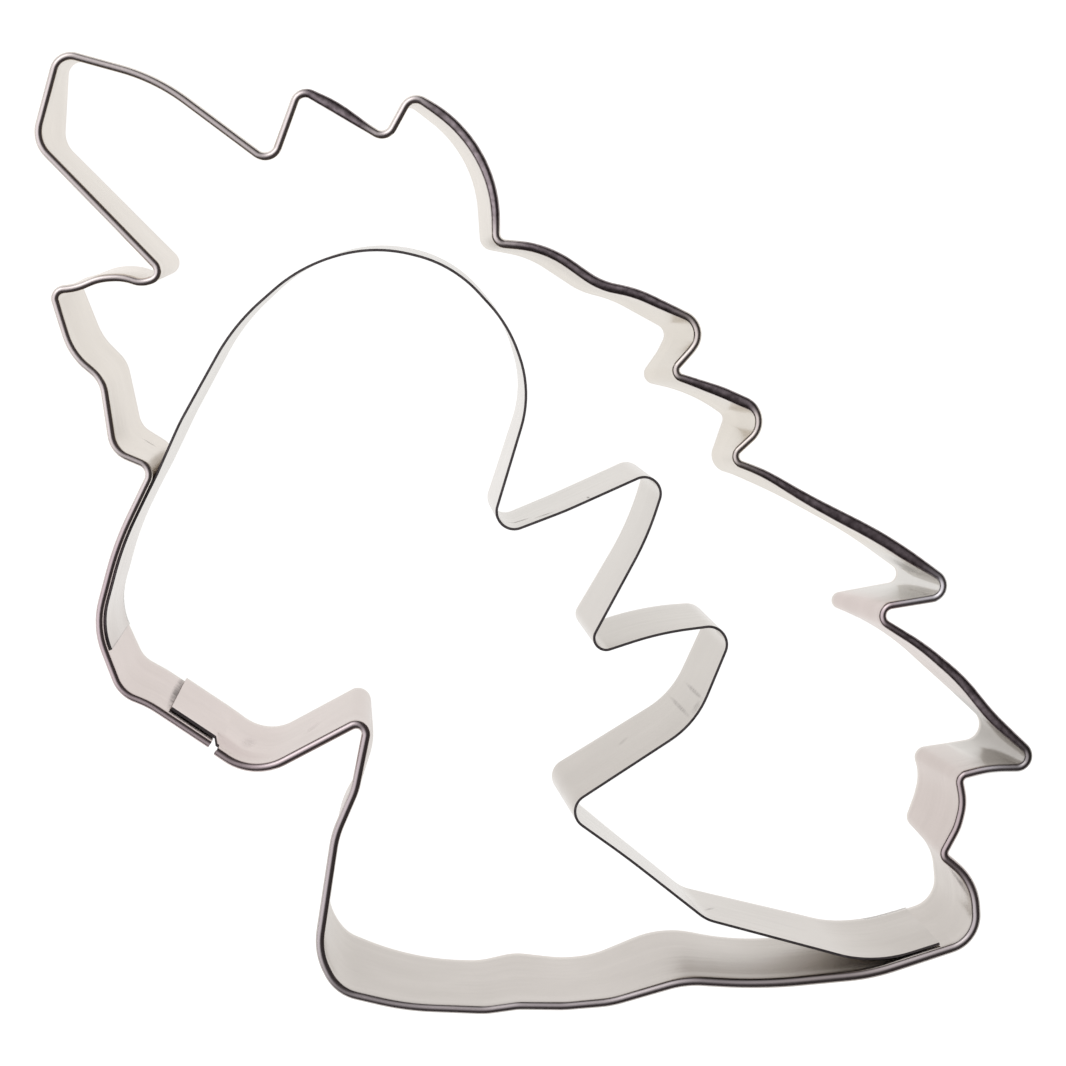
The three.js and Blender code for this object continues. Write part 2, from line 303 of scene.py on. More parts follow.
class Path:
    """Stations along a run of bends: points and outward normals at both levels, and the run in mm."""

    def __init__(self, bends):
        self.p, self.n, self.bend = [], [], []
        for i, b in enumerate(bends):
            self.turn(i, b, bends[i - 1] if i else None, bends[i + 1] if i + 1 < len(bends) else None)
        self.p, self.n, self.bend = np.array(self.p), np.array(self.n), np.array(self.bend)
        steps = np.linalg.norm(np.diff(self.p[:, 0], axis=0), axis=1)
        self.run = np.concatenate([[0], np.cumsum(steps)])

    def turn(self, i, b, before, after):
        starts, centres, normals, angles = [], [], [], []
        for k in (0, 1):
            d1 = heading(before.at[k], b.at[k]) if before else heading(b.at[k], after.at[k])
            d2 = heading(b.at[k], after.at[k]) if after else d1
            angle = math.atan2(d1[0] * d2[1] - d1[1] * d2[0], d1 @ d2)
            start = b.at[k] - d1 * b.r[k] * math.tan(abs(angle) / 2)
            side = math.copysign(b.r[k], angle)
            starts.append(start)
            centres.append(start + side * left_of(d1))
            normals.append(left_of(d1))
            angles.append((angle, side))
        widest = max(abs(a) for a, _ in angles)
        length = widest * max(b.r)
        steps = max(2, math.ceil(max(widest / ARC_STEP, length / ARC_PITCH))) if length else 0
        for s in range(steps + 1):
            points, outward = [], []
            for k, (angle, side) in enumerate(angles):
                a = angle * s / steps if steps else angle / 2
                c, sn = math.cos(a), math.sin(a)
                n = np.array([normals[k][0] * c - normals[k][1] * sn, normals[k][0] * sn + normals[k][1] * c])
                points.append(centres[k] - side * n)
                outward.append(n)
            if s == 0 and self.p:
                self.straight(i, points, outward)
            self.p.append(points)
            self.n.append(outward)
            self.bend.append(i)

    def straight(self, i, points, outward):
        """Even stations on the straight up to a new bend."""
        last, normal = np.array(self.p[-1]), np.array(self.n[-1])
        gap = np.array(points) - last
        parts = math.ceil(np.linalg.norm(gap[0]) / STRAIGHT_PITCH)
        for s in range(1, parts):
            self.p.append(last + gap * s / parts)
            self.n.append(normal + (np.array(outward) - normal) * s / parts)
            self.bend.append(i)

    def at_bend(self, i):
        """Run at the middle of a bend."""
        return self.run[self.bend == i].mean()

    def ring(self, i, loop):
        """Points of a cross-section, given as (u outward, z up), at station i."""
        u, z = loop[:, :1], loop[:, 1:2]
        at = [self.p[i, k] + u * self.n[i, k] for k in (0, 1)]
        share = (HEIGHT - z) / HEIGHT
        return np.hstack([at[0] * (1 - share) + at[1] * share, z])


def smooth(value, start, stop):
    """An even rise from 0 to 1 between two values."""
    t = np.clip((value - start) / (stop - start), 0, 1)
    return t * t * (3 - 2 * t)


def rim_shares(path):
    """The painted dark reflection of the rim at each station, from 0 to 1, and how far it swells, in
    millimetres.
    """
    dark, swell = np.zeros(len(path.run)), np.zeros(len(path.run))
    for root, tip, width, (rise, fall), depth in DARK_RIMS:
        first, last = [path.at_bend(OUTER_BENDS.index(b)) for b in (root, tip)]
        along = (path.run - first) / (last - first)
        dark += depth * smooth(along, *DARK_RISE) * (1 - smooth(along, *DARK_FALL))
        swell += width * smooth(along, 0, rise) * (1 - smooth(along, fall, 1))
    return dark, swell


def levels(low, high):
    """Heights from one to the other at about the wall pitch."""
    return np.linspace(low, high, max(2, math.ceil(abs(high - low) / WALL_PITCH) + 1))


def arc(centre, radius, start, stop, steps):
    a = np.radians(np.linspace(start, stop, steps + 1))
    return np.column_stack([centre[0] + radius * np.cos(a), centre[1] + radius * np.sin(a)])


def column(u, heights):
    return np.column_stack([np.full(len(heights), u), heights])


def strip_loop(low_face, high_face, top):
    """Cross-section of a plain strip with broken edges, from its low face round by its foot."""
    e = EDGE_BREAK
    return np.vstack([
        [[low_face + e, 0], [high_face - e, 0]],
        column(high_face, levels(e, top - e)),
        [[high_face - e, top], [low_face + e, top]],
        column(low_face, levels(top - e, e)),
    ])


def hem_loop(curl):
    """Cross-section of the outer band: wall, open curl, return leg. The tab shares the part below its top."""
    e = EDGE_BREAK
    crown = HEIGHT - curl
    rise = levels(e, TAB_TOP)
    outer_wall = column(OUTER_FACE, rise)
    inner_wall = column(INNER_FACE, rise[::-1])
    leg = INNER_FACE + 2 * curl
    middle = INNER_FACE + curl
    bore = curl - OUTER_SHEET
    hem = np.vstack([
        column(OUTER_FACE, [UNDERCUT_MIDDLE, crown - WALL_LEAD]),
        arc((middle, crown), bore, 180, 0, BORE_STEPS),
        column(middle + bore, [HEM_FOOT + e]),
        [[middle + bore + e, HEM_FOOT], [leg - e, HEM_FOOT]],
        column(leg, [HEM_FOOT + e, crown - LEG_LEAD]),
        arc((middle, crown), curl, 0, 180, CURL_STEPS),
        column(INNER_FACE, [crown - WALL_LEAD, UNDERCUT_MIDDLE]),
    ])
    foot = np.array([[INNER_FACE + e, 0], [OUTER_FACE - e, 0]])
    loop = np.vstack([foot, outer_wall, hem, inner_wall])
    lower = list(range(len(foot) + len(rise))) + list(range(len(loop) - len(rise), len(loop)))
    return loop, lower


def worked(loop, swell, lean):
    """The rim's section drawn out by a swell, undercut below the curl, its wall leant in towards the tab."""
    u, z = loop.T
    reach = np.minimum(u, 0) / -INNER_FACE if swell > 0 else np.minimum(-u, 0) / max(u)
    drawn_out = reach * swell * smooth(z, SWELL_FROM, SWELL_FULL)
    drift = TAB_DRIFT[0] + (TAB_DRIFT[1] - TAB_DRIFT[0]) * z / HEIGHT
    undercut = UNDERCUT * smooth(z, UNDERCUT_FROM, UNDERCUT_FULL) * (u < 0)
    leant = lean * drift * (1 - smooth(z, LEAN_FULL, TAB_TOP))
    return np.column_stack([u + drawn_out + undercut - leant, z])


def feathered(loop, share, side):
    """The strip's section thinned at the foot and pressed to one side, 1 or -1 along the normal."""
    u, z = loop.T
    share = share * (1 - smooth(z, *FEATHER_TOP))
    return np.column_stack([u * (1 - share * (1 - FEATHER_THIN)) + share * side * FEATHER_SHIFT, z])


class Sheet:
    """Collects rings of points into one closed mesh with a map of run by height round the section."""

    def __init__(self):
        self.points, self.faces, self.uv, self.painted_reflection = [], [], [], []
        self.count = 0

    def ring(self, points, painted_reflection=0.0):
        """Adds a ring; its painted reflection, from 0 to 1, is the painted dark reflection on a rim or the
        painted highlight on a cut edge.
        """
        self.points.append(points)
        self.painted_reflection.append(painted_reflection * np.ones(len(points)))
        first = self.count
        self.count += len(points)
        return list(range(first, self.count))

    def join(self, a, b, run, girth):
        for i in range(len(a)):
            j = (i + 1) % len(a)
            self.faces.append((a[i], a[j], b[j], b[i]))
            g0, g1 = girth[i], girth[i + 1]
            self.uv.append([(run[0], g0), (run[0], g1), (run[1], g1), (run[1], g0)])

    def cap(self, ring, loop, run, forward):
        order = list(range(len(ring)))
        if not forward:
            order.reverse()
        self.faces.append(tuple(ring[i] for i in order))
        self.uv.append([(run + loop[i][0], loop[i][1]) for i in order])

    def build(self, name):
        mesh = bpy.data.meshes.new(name)
        points = (np.vstack(self.points) - ORIGIN) * MM
        mesh.from_pydata(points.tolist(), [], self.faces)
        layer = mesh.uv_layers.new(name="sheet")
        layer.uv.foreach_set("vector", np.array([c for f in self.uv for c in f], np.float32).ravel() * MM)
        painted_reflection = mesh.attributes.new("painted_reflection", "FLOAT", "POINT")
        painted_reflection.data.foreach_set("value", np.concatenate(self.painted_reflection).astype(np.float32))
        mesh.polygons.foreach_set("use_smooth", [True] * len(mesh.polygons))
        mesh.set_sharp_from_angle(angle=SHARP_ANGLE)
        mesh.validate()
        piece = bpy.data.objects.new(name, mesh)
        bpy.context.scene.collection.objects.link(piece)
        return piece


def girth_of(loop):
    """Way round a closed section at each of its points, with the whole way at the end."""
    steps = np.linalg.norm(np.diff(np.vstack([loop, loop[:1]]), axis=0), axis=1)
    return np.concatenate([[0], np.cumsum(steps)])


def sweep(sheet, path, stations, loops, painted_reflection):
    """Skins one section per station along some of a path's stations, and returns the rings."""
    rings = [sheet.ring(path.ring(i, loop), f) for i, loop, f in zip(stations, loops, painted_reflection)]
    girth = girth_of(loops[0])
    for k in range(1, len(rings)):
        i, j = stations[k - 1], stations[k]
        sheet.join(rings[k - 1], rings[k], (path.run[i], path.run[j]), girth)
    return rings


outline = [drawn(*b) for b in OUTER_BENDS]
near, near_next = outline[0], outline[1]
rim_before, rim_end = outline[-2], outline[-1]
tab = [
    beside(rim_end, rim_before, -TAB_LEAD, 0),
    beside(near, near_next, -TAB_CLEAR, TAB_INSET),
    beside(near, near_next, TAB_LENGTH, TAB_INSET),
]
chin_at, rump_at = OUTER_BENDS.index(CHIN), OUTER_BENDS.index(RUMP)
jaw, chin, cheek, brow = outline[chin_at - 1:chin_at + 3]
rump_back, rump = outline[rump_at - 1:rump_at + 1]
lap_bend = beside(cheek, brow, LEFT_FLANGE_REACH, FLANGE_MIDDLE, LEFT_FLANGE_BEND)
detail = [
    beside(chin, jaw, LEFT_FLANGE_LEAD, -FLANGE_MIDDLE),
    nested(jaw, chin, cheek, FLANGE_MIDDLE),
    nested(chin, cheek, brow, FLANGE_MIDDLE),
    lap_bend,
    *[drawn(*b) for b in INNER_BENDS],
    beside(rump, rump_back, RIGHT_FLANGE_LEAD, -FLANGE_MIDDLE, RIGHT_FLANGE_BEND),
    beside(rump, rump_back, RIGHT_FLANGE_END, -FLANGE_MIDDLE),
]


def outer_band():
    path = Path(outline + tab)
    places = [path.at_bend(OUTER_BENDS.index(bend)) for bend, _ in CURLS]
    curls = np.interp(path.run, places, [radius for _, radius in CURLS])
    loop, lower = hem_loop(curls[0])
    sheet = Sheet()
    on_rim = [i for i in range(len(path.run)) if path.bend[i] < len(outline)]
    on_tab = [i for i in range(len(path.run)) if path.bend[i] >= len(outline)]
    for i in [on_rim[-1], *on_tab]:
        path.n[i] = [left_of(heading(p, q)) for p, q in zip(near.at, near_next.at)]
    dark, swell = rim_shares(path)
    end = path.run[on_rim[-1]]
    lean = smooth(path.run, end - TAB_EASE, end) * (path.bend <= len(outline))
    # Painted dark reflection over the top of the rim, by height
    rim_reflection = smooth(loop[:, 1], RIM_REFLECTION_FROM, RIM_REFLECTION_FULL)
    loops = [worked(hem_loop(curls[i])[0], swell[i], lean[i]) for i in on_rim]
    rings = sweep(sheet, path, on_rim, loops, [dark[i] * rim_reflection for i in on_rim])
    sheet.cap(rings[0], loop, 0, False)
    last = rings[-1]
    upper = list(range(lower[len(lower) // 2 - 1], lower[len(lower) // 2] + 1))
    sheet.cap([last[i] for i in upper], loop[upper], end, True)
    tab_loop = loop[lower]
    girth = girth_of(tab_loop)
    ring, at = [last[i] for i in lower], on_rim[-1]
    for i in on_tab:
        following = sheet.ring(path.ring(i, worked(tab_loop, 0, lean[i])))
        sheet.join(ring, following, (path.run[at], path.run[i]), girth)
        ring, at = following, i
    sheet.cap(ring, tab_loop, path.run[at], True)
    return sheet, path


def inner_band():
    path = Path(detail)
    loop = strip_loop(-INNER_SHEET / 2, INNER_SHEET / 2, INNER_TOP)
    sheet = Sheet()
    run, end = path.run, path.run[-1]
    left = 1 - smooth(run, 0, FEATHER_LENGTH)
    right = smooth(run, end - FEATHER_LENGTH, end)
    lap_end, lap_start = [path.at_bend(detail.index(bend)) for bend in (lap_bend, detail[-2])]
    press = PRESS_LEFT * (1 - smooth(run, lap_end, lap_end + PRESS_EASE))
    press -= PRESS_RIGHT * smooth(run, lap_start, lap_start + PRESS_EASE)
    loops = [feathered(loop, s + t, 1 if s else -1) + (p, 0) for s, t, p in zip(left, right, press)]
    # Painted highlight on the flange's top edge beside the rim, along the left lap
    highlight = smooth(run, *EDGE_HIGHLIGHT_LAP) * (1 - smooth(run, lap_end - EDGE_HIGHLIGHT_FADE[0], lap_end - EDGE_HIGHLIGHT_FADE[1]))
    by_rim = (loop[:, 0] > 0) & (loop[:, 1] > INNER_TOP - EDGE_BREAK / 2)
    rings = sweep(sheet, path, range(len(run)), loops, highlight[:, None] * by_rim)
    sheet.cap(rings[0], loop, 0, False)
    sheet.cap(rings[-1], loop, end, True)
    return sheet, path


def plan_middle(*sheets):
    """Middle of the redrawn bands in plan, which is the origin of the solids."""
    every = np.vstack([p for s in sheets for p in s.points])
    return (every.min(0) + every.max(0)) / 2 * (1, 1, 0)


outer_sheet, outer_path = outer_band()
inner_sheet, inner_path = inner_band()
ORIGIN = plan_middle(outer_sheet, inner_sheet)


def new_material(name):
    material = bpy.data.materials.new(name)
    material.use_nodes = True
    nodes = material.node_tree.nodes
    nodes.clear()
    shader = nodes.new("ShaderNodeBsdfPrincipled")
    out = nodes.new("ShaderNodeOutputMaterial")
    material.node_tree.links.new(shader.outputs["BSDF"], out.inputs["Surface"])
    return material, shader


class Wiring:
    """Short ways to add and link the nodes of one material or world."""

    def __init__(self, owner):
        self.nodes = owner.node_tree.nodes
        self.links = owner.node_tree.links

    def link(self, a, b):
        self.links.new(a, b)

    def map(self, scale):
        where = self.nodes.new("ShaderNodeUVMap")
        where.uv_map = "sheet"
        mapping = self.nodes.new("ShaderNodeMapping")
        mapping.inputs["Scale"].default_value = scale
        self.link(where.outputs["UV"], mapping.inputs["Vector"])
        return mapping.outputs["Vector"]

    def noise(self, vector, scale, detail=3.0, rough=0.5):
        node = self.nodes.new("ShaderNodeTexNoise")
        node.inputs["Scale"].default_value = scale
        node.inputs["Detail"].default_value = detail
        node.inputs["Roughness"].default_value = rough
        self.link(vector, node.inputs["Vector"])
        return node.outputs["Fac"]

    def spread(self, value, low, high, start=0.3, stop=0.7):
        node = self.nodes.new("ShaderNodeMapRange")
        node.inputs["From Min"].default_value = start
        node.inputs["From Max"].default_value = stop
        node.inputs["To Min"].default_value = low
        node.inputs["To Max"].default_value = high
        self.link(value, node.inputs["Value"])
        return node.outputs["Result"]

    def ramp(self, value, *stops):
        node = self.nodes.new("ShaderNodeValToRGB")
        elements = node.color_ramp.elements
        while len(elements) < len(stops):
            elements.new(0.5)
        for element, (place, colour) in zip(elements, stops):
            element.position = place
            element.color = (*colour, 1)
        self.link(value, node.inputs["Fac"])
        return node.outputs["Color"]

    def step(self, value, start, stop, high=1.0):
        node = self.nodes.new("ShaderNodeMapRange")
        node.interpolation_type = "SMOOTHSTEP"
        node.inputs["From Min"].default_value = start
        node.inputs["From Max"].default_value = stop
        node.inputs["To Max"].default_value = high
        self.link(value, node.inputs["Value"])
        return node.outputs["Result"]

    def mix(self, share, a, b):
        node = self.nodes.new("ShaderNodeMix")
        node.data_type = "RGBA"
        self.link(share, node.inputs["Factor"])
        self.link(a, node.inputs["A"])
        self.link(b, node.inputs["B"])
        return node.outputs["Result"]

    def tint(self, a, b):
        node = self.nodes.new("ShaderNodeMix")
        node.data_type = "RGBA"
        node.blend_type = "MULTIPLY"
        node.inputs["Factor"].default_value = 1.0
        self.link(a, node.inputs["A"])
        self.link(b, node.inputs["B"])
        return node.outputs["Result"]

    def math(self, operation, a, b):
        node = self.nodes.new("ShaderNodeMath")
        node.operation = operation
        self.link(a, node.inputs[0])
        self.link(b, node.inputs[1])
        return node.outputs["Value"]

    def mark(self, run, girth, along, across, turn, depth):
        """A soft spot on the map: its place and half sizes in millimetres, its turn in degrees, its depth."""
        where = self.nodes.new("ShaderNodeUVMap")
        where.uv_map = "sheet"
        mapping = self.nodes.new("ShaderNodeMapping")
        mapping.vector_type = "TEXTURE"
        mapping.inputs["Location"].default_value = (run * MM, girth * MM, 0)
        mapping.inputs["Rotation"].default_value = (0, 0, math.radians(turn))
        mapping.inputs["Scale"].default_value = (along * MM, across * MM, 1)
        self.link(where.outputs["UV"], mapping.inputs["Vector"])
        reach = self.nodes.new("ShaderNodeVectorMath")
        reach.operation = "LENGTH"
        self.link(mapping.outputs["Vector"], reach.inputs[0])
        return self.step(reach.outputs["Value"], 1.0, 0.2, depth)

    def bump(self, height, distance, strength=1.0):
        node = self.nodes.new("ShaderNodeBump")
        node.inputs["Distance"].default_value = distance
        node.inputs["Strength"].default_value = strength
        self.link(height, node.inputs["Height"])
        return node.outputs["Normal"]


# Steels: colours in the dark and the light of the grain, roughness from bright to dull, scales of the grain
OUTER_DARK, OUTER_LIGHT = (0.583, 0.545, 0.509), (0.639, 0.601, 0.565)
INNER_DARK, INNER_LIGHT = (0.338, 0.316, 0.297), (0.378, 0.356, 0.336)
OUTER_GLOSS = (0.23, 0.27)
INNER_GLOSS = (0.12, 0.18)
# Painted glow, lighter towards the foot of the wall: the height it spans in metres and its colour
FOOT_GLOW_RISE = (0.0, 0.0016)
FOOT_GLOW_COLOUR = (0.62, 0.6, 0.58)
# Colours of the grime and of the painted shade at the marks, and how much duller they leave the steel
GRIME_AND_SHADE = (0.05, 0.042, 0.042)
GRIT_AND_SHADE = (0.16, 0.14, 0.14)
GRIME_AND_SHADE_DULL = 0.3
# Colours of the painted dark reflection on the rim's top
RIM_REFLECTION_DARK, RIM_REFLECTION_LIGHT = (0.15, 0.125, 0.128), (0.42, 0.37, 0.375)
SPECULAR_TINT = (0.97, 0.945, 0.915, 1)
STREAKS, CLOUDS, MOTTLE = (60, 1600, 1), (110, 110, 1), (1500, 2500, 1)
STREAK_DEPTH = 0.000004
TORN_DARK, TORN_LIGHT = (0.06, 0.054, 0.053), (0.19, 0.175, 0.17)
# Colours of the painted highlight on the cut edge in the lap
EDGE_HIGHLIGHT_DARK, EDGE_HIGHLIGHT_LIGHT = (0.4, 0.35, 0.35), (0.5, 0.44, 0.44)
TORN_GRAIN = (900, 6000, 1)
TORN_GLOSS = (0.35, 0.6)
TORN_DEPTH = 0.00002
WELD_DARK, WELD_LIGHT = (0.16, 0.13, 0.11), (0.3, 0.27, 0.26)
WELD_GRAIN = 4000.0
WELD_GLOSS = (0.45, 0.65)


def rolled_steel(name, dark, light, bright, dull, hues, marks):
    """Cold-rolled sheet: streaks along the strip, a slow cloudiness and drift of hue, a painted glow at the
    foot and a painted dark reflection on the rim.
    """
    material, shader = new_material(name)
    w = Wiring(material)
    streaks = w.noise(w.map(STREAKS), 1.0, 4.0, 0.6)
    clouds = w.noise(w.map(CLOUDS), 1.0, 2.0)
    mottle = w.noise(w.map(MOTTLE), 1.0, 3.0)
    painted_reflection = w.nodes.new("ShaderNodeAttribute")
    painted_reflection.attribute_name = "painted_reflection"
    length = hues[-1][0]
    along = w.nodes.new("ShaderNodeSeparateXYZ")
    w.link(w.map((1, 1, 1)), along.inputs[0])
    share = w.spread(along.outputs["X"], 0, 1, 0, length * MM)
    hue = w.ramp(share, *[(run / length, colour) for run, colour in hues])
    steel = w.tint(w.ramp(clouds, (0.3, dark), (0.7, light)), hue)
    rise = w.nodes.new("ShaderNodeSeparateXYZ")
    w.link(w.nodes.new("ShaderNodeTexCoord").outputs["Object"], rise.inputs[0])
    # Painted glow: the wall lightened towards its foot
    steel = w.mix(w.step(rise.outputs["Z"], *FOOT_GLOW_RISE), w.ramp(clouds, (0.3, FOOT_GLOW_COLOUR), (0.7, light)), steel)
    spots = functools.reduce(functools.partial(w.math, "MAXIMUM"), [w.mark(*m) for m in marks])
    # Grime of the smudges and painted shade at the ends of the tab and the left flange, broken up by the
    # mottle
    grime_and_shade = w.math("MULTIPLY", spots, w.spread(mottle, 0.35, 1.0, 0.4, 0.6))
    steel = w.mix(grime_and_shade, steel, w.ramp(mottle, (0.3, GRIME_AND_SHADE), (0.7, GRIT_AND_SHADE)))
    # Painted dark reflection on the rim's top, mixed in by the painted_reflection attribute
    rim_reflection = w.ramp(mottle, (0.3, RIM_REFLECTION_DARK), (0.75, RIM_REFLECTION_LIGHT))
    w.link(w.mix(painted_reflection.outputs["Fac"], steel, rim_reflection), shader.inputs["Base Color"])
    gloss = w.math("ADD", w.spread(streaks, bright, dull), w.spread(grime_and_shade, 0, GRIME_AND_SHADE_DULL, 0, 1))
    w.link(gloss, shader.inputs["Roughness"])
    w.link(w.bump(streaks, STREAK_DEPTH, 0.25), shader.inputs["Normal"])
    shader.inputs["Metallic"].default_value = 1.0
    shader.inputs["Specular Tint"].default_value = SPECULAR_TINT
    return material


def sheared_steel():
    """The raw edge of the sheet, torn by the slitter, with a painted highlight where it is pressed in a lap.
    """
    material, shader = new_material("sheared_edge")
    w = Wiring(material)
    grain = w.noise(w.map(TORN_GRAIN), 1.0, 4.0, 0.65)
    painted_reflection = w.nodes.new("ShaderNodeAttribute")
    painted_reflection.attribute_name = "painted_reflection"
    raw = w.ramp(grain, (0.3, TORN_DARK), (0.75, TORN_LIGHT))
    # Painted highlight colours of the edge in the lap
    highlit = w.ramp(grain, (0.3, EDGE_HIGHLIGHT_DARK), (0.75, EDGE_HIGHLIGHT_LIGHT))
    w.link(w.mix(painted_reflection.outputs["Fac"], raw, highlit), shader.inputs["Base Color"])
    w.link(w.spread(grain, *TORN_GLOSS), shader.inputs["Roughness"])
    w.link(w.bump(grain, TORN_DEPTH, 0.6), shader.inputs["Normal"])
    shader.inputs["Metallic"].default_value = 1.0
    return material


def weld_steel():
    """A spot-weld nugget, heat-tinted and dull."""
    material, shader = new_material("weld_steel")
    w = Wiring(material)
    where = w.nodes.new("ShaderNodeTexCoord").outputs["Object"]
    grain = w.noise(where, WELD_GRAIN, 3.0)
    w.link(w.ramp(grain, (0.3, WELD_DARK), (0.7, WELD_LIGHT)), shader.inputs["Base Color"])
    w.link(w.spread(grain, *WELD_GLOSS), shader.inputs["Roughness"])
    shader.inputs["Metallic"].default_value = 1.0
    return material


# How steeply a cut edge faces up or down, and how far above the tab it is still looked for
EDGE_FACING = 0.5
EDGE_ABOVE = 0.1


def dress(name, node, sheet, body_steel, edge_steel, is_edge):
    """Builds a band's piece, puts the raw-edge steel on its cut faces and stands it for its solid."""
    piece = sheet.build(name)
    piece.data.materials.append(body_steel)
    piece.data.materials.append(edge_steel)
    for polygon in piece.data.polygons:
        polygon.material_index = 1 if is_edge(polygon) else 0
    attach(piece, "root")
    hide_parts(node)


def cut_top(polygon):
    """True for the upward cut edge of a plain strip."""
    return polygon.normal.z > EDGE_FACING


def cut_rim(polygon):
    """True for the cut edges of the outer band below its curl."""
    return abs(polygon.normal.z) > EDGE_FACING and polygon.center.z < (TAB_TOP + EDGE_ABOVE) * MM


def outer_run(bend):
    return outer_path.at_bend(OUTER_BENDS.index(bend))


# Hue along the strips, as stops a given way past a bend: pink at the seam, straw round the face, sandy along
# the mane, cooler in the points of its locks and greyer along the base, with a painted dark reflection on the
# wall at the last lock's point and a lighter one by the corner
PINK = (0.91, 0.84, 0.875)
ROSE = (0.77, 0.716, 0.735)
STRAW = (1.09, 1.09, 1.08)
SAND = (0.98, 0.975, 0.93)
GREY = (0.76, 0.76, 0.775)
PEARL = (0.97, 1.03, 1.08)
SMOKE = (1.0, 1.05, 1.1)
# Painted dark reflection on the wall at the last lock's point
DARK_WALL_REFLECTION = (0.37, 0.37, 0.37)
# Painted darker reflection on the wall by the corner
CORNER_REFLECTION_GREY = (0.61, 0.597, 0.588)
BLUSH = (1.0, 0.93, 0.955)
CREAM = (1.0, 0.995, 0.95)
PLAIN = (1.0, 0.99, 0.99)
OUTER_HUES = [
    (OUTER_BENDS[0], 0, PINK),
    (CHEEK, 0, PINK),
    (BROW, 0, STRAW),
    (CREST, 0, STRAW),
    (FIRST_TIP, 0, SAND),
    (THIRD_TIP, -6, SAND),
    (THIRD_TIP, -2.5, PEARL),
    (THIRD_TIP, 4, PEARL),
    (THIRD_VALLEY, -1, PINK),
    (LAST_TIP, -8, ROSE),
    # painted dark reflection on the wall at the last point
    (LAST_TIP, -4, DARK_WALL_REFLECTION),
    (LAST_TIP, -0.5, DARK_WALL_REFLECTION),
    (LAST_TIP, 4, SMOKE),
    (LAST_TIP, 7, ROSE),
    (CORNER, -8, ROSE),
    (CORNER, -3, GREY),
    # painted darker reflection by the corner
    (RUMP, 8, CORNER_REFLECTION_GREY),
    (RUMP, 14, GREY),
    (NECK, 0, GREY),
    (OUTER_BENDS[-1], 0, PINK),
]
outer_hues = [(outer_run(bend) + past, colour) for bend, past, colour in OUTER_HUES]
inner_hues = [
    (0, BLUSH),
    (25, CREAM),
    (inner_path.run[-1], PLAIN),
]

# Marks of use and of the bending tools, and of painted shade: run, girth, half sizes along and across, turn,
# depth
OUTER_MARKS = [
    # painted shade and dark reflection along the end of the tab
    (4.85, 39, 0.6, 14, 1.2, 0.95),
    # smudges on the jaw
    (364.1, 35, 1.0, 4.5, 6, 0.2),
    (356.9, 35, 0.9, 2.4, 20, 0.14),
    # smudges in the third lock and by the corner
    (208.4, 38, 1.5, 7, 0, 0.35),
    (257.4, 31, 1.0, 6, 8, 0.6),
    # scratch over the cheek
    (33.9, 39.6, 0.95, 0.5, 25, 0.6),
]
INNER_MARKS = [
    # painted shade line at the end of the left flange
    (0.1, 30, 0.16, 20, 0, 0.6),
    # kinks over the edge of the former
    (139.9, 31, 0.32, 11, -1, 0.5),
    (137.65, 29, 0.32, 9, -1, 0.5),
    (138.6, 23, 1.1, 2.0, 0, 0.4),
    (146.5, 33.4, 0.6, 1.3, 25, 0.4),
    # bite of the pliers along the first tooth
    (86.2, 14.8, 1.9, 0.5, 40, 1.0),
    (88.7, 18.4, 1.4, 0.5, 30, 1.0),
    (93.4, 19.4, 0.2, 1.6, 0, 1.0),
    # scratch by the base
    (172.5, 13.0, 0.25, 3.0, 20, 0.5),
]

edge = sheared_steel()
outer_steel = rolled_steel("rolled_steel", OUTER_DARK, OUTER_LIGHT, *OUTER_GLOSS, outer_hues, OUTER_MARKS)
inner_steel = rolled_steel("strip_steel", INNER_DARK, INNER_LIGHT, *INNER_GLOSS, inner_hues, INNER_MARKS)
dress("outer_band_sheet", "outer_band", outer_sheet, outer_steel, edge, cut_rim)
dress("inner_band_sheet", "inner_band", inner_sheet, inner_steel, edge, cut_top)

weld = weld_steel()
for name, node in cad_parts.items():
    if "_weld_" in name:
        node.data.materials.clear()
        node.data.materials.append(weld)

# Table: a white sheet that glows, just below the cutting edge
TABLE_SIDE = 6.0
TABLE_GAP = 0.00002
TABLE_GREY = (0.2, 0.2, 0.2, 1)
TABLE_GLOW = (1, 1, 0.995, 1)
TABLE_STRENGTH = 1.02
TABLE_ROUGH = 0.9


def table_top():
    h = TABLE_SIDE / 2
    mesh = bpy.data.meshes.new("table")
    mesh.from_pydata([(-h, -h, -TABLE_GAP), (h, -h, -TABLE_GAP), (h, h, -TABLE_GAP), (-h, h, -TABLE_GAP)],
                     [], [(0, 1, 2, 3)])
    table = bpy.data.objects.new("table", mesh)
    bpy.context.scene.collection.objects.link(table)
    material, shader = new_material("table_white")
    shader.inputs["Base Color"].default_value = TABLE_GREY
    shader.inputs["Roughness"].default_value = TABLE_ROUGH
    shader.inputs["Emission Color"].default_value = TABLE_GLOW
    shader.inputs["Emission Strength"].default_value = TABLE_STRENGTH
    mesh.materials.append(material)


table_top()


# The key light: where it stands, its side in metres and its brightness
KEY_AT = (-0.378, 0.495, 0.648)
KEY_SIDE = 0.5
KEY_BRIGHT = 0.9


def softbox(name, place, side, brightness):
    """A square area light of an even brightness, as seen in a mirror, aimed at the middle of the table."""
    light = bpy.data.lights.new(name, "AREA")
    light.shape = "SQUARE"
    light.size = side
    light.energy = brightness * math.pi * side * side
    lamp = bpy.data.objects.new(name, light)
    lamp.location = place
    lamp.rotation_euler = (-Vector(place)).to_track_quat("-Z", "Y").to_euler()
    bpy.context.scene.collection.objects.link(lamp)


softbox("key", KEY_AT, KEY_SIDE, KEY_BRIGHT)

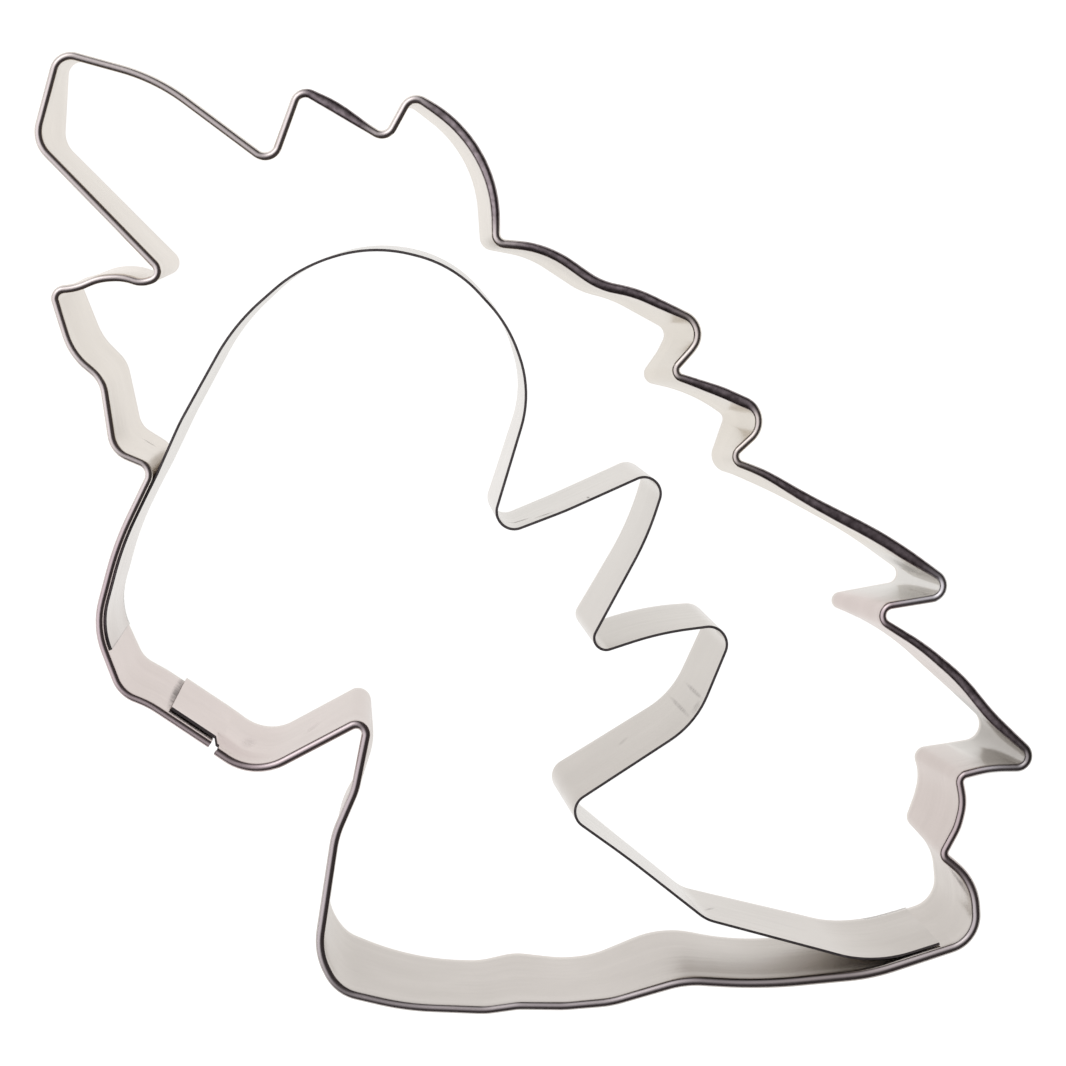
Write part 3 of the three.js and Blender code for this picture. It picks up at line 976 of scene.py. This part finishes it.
# The tent round the table: bright up the left, dark on the right and along the horizon
TENT_AXIS = (-0.79, 0.35, 0.5)
TENT_EDGE = (0.22, 0.8)
HORIZON = (0.03, 0.16)
TENT_BRIGHT = (0.97, 0.92, 1.0)
TENT_DARK = (0.05, 0.042, 0.044)
TENT_STRENGTH = 1.22
BACKDROP = (0.64, 0.64, 0.636, 1)


def tent():
    """The studio around the table, told by direction alone, and a pale backdrop where it is looked at."""
    world = bpy.data.worlds.new("studio")
    world.use_nodes = True
    w = Wiring(world)
    back = w.nodes["Background"]
    towards = w.nodes.new("ShaderNodeTexCoord").outputs["Generated"]
    facing = w.nodes.new("ShaderNodeVectorMath")
    facing.operation = "DOT_PRODUCT"
    facing.inputs[1].default_value = TENT_AXIS
    w.link(towards, facing.inputs[0])
    rise = w.nodes.new("ShaderNodeSeparateXYZ")
    w.link(towards, rise.inputs[0])
    lit = w.math("MULTIPLY", w.step(facing.outputs["Value"], *TENT_EDGE), w.step(rise.outputs["Z"], *HORIZON))
    inside = w.ramp(lit, (0, TENT_DARK), (1, TENT_BRIGHT))
    seen = w.nodes.new("ShaderNodeMix")
    seen.data_type = "RGBA"
    w.link(w.nodes.new("ShaderNodeLightPath").outputs["Is Camera Ray"], seen.inputs["Factor"])
    w.link(inside, seen.inputs["A"])
    seen.inputs["B"].default_value = BACKDROP
    back.inputs["Strength"].default_value = TENT_STRENGTH
    w.link(seen.outputs["Result"], back.inputs["Color"])
    bpy.context.scene.world = world


tent()

# Camera: where it stands over the drawing, in millimetres, and how far it leans from straight down
CAMERA_AT = (-15.235, 25.82, 329.4)
CAMERA_PITCH = math.radians(-4.784)
CAMERA_YAW = math.radians(-2.829)
FOCAL_PIXELS = 3229
PHOTO_PIXELS = 1066
SENSOR = 36.0
CLIP_START = 0.01

camera_data = bpy.data.cameras.new("camera")
camera_data.sensor_width = SENSOR
camera_data.lens = SENSOR * FOCAL_PIXELS / PHOTO_PIXELS
camera_data.clip_start = CLIP_START
camera = bpy.data.objects.new("camera", camera_data)
camera.location = (np.array(CAMERA_AT) - ORIGIN) * MM
camera.rotation_euler = (CAMERA_PITCH, CAMERA_YAW, 0)
bpy.context.scene.collection.objects.link(camera)
bpy.context.scene.camera = camera

bpy.context.scene.view_settings.view_transform = "Standard"
bpy.context.scene.cycles.max_bounces = 16
bpy.context.scene.cycles.glossy_bounces = 12
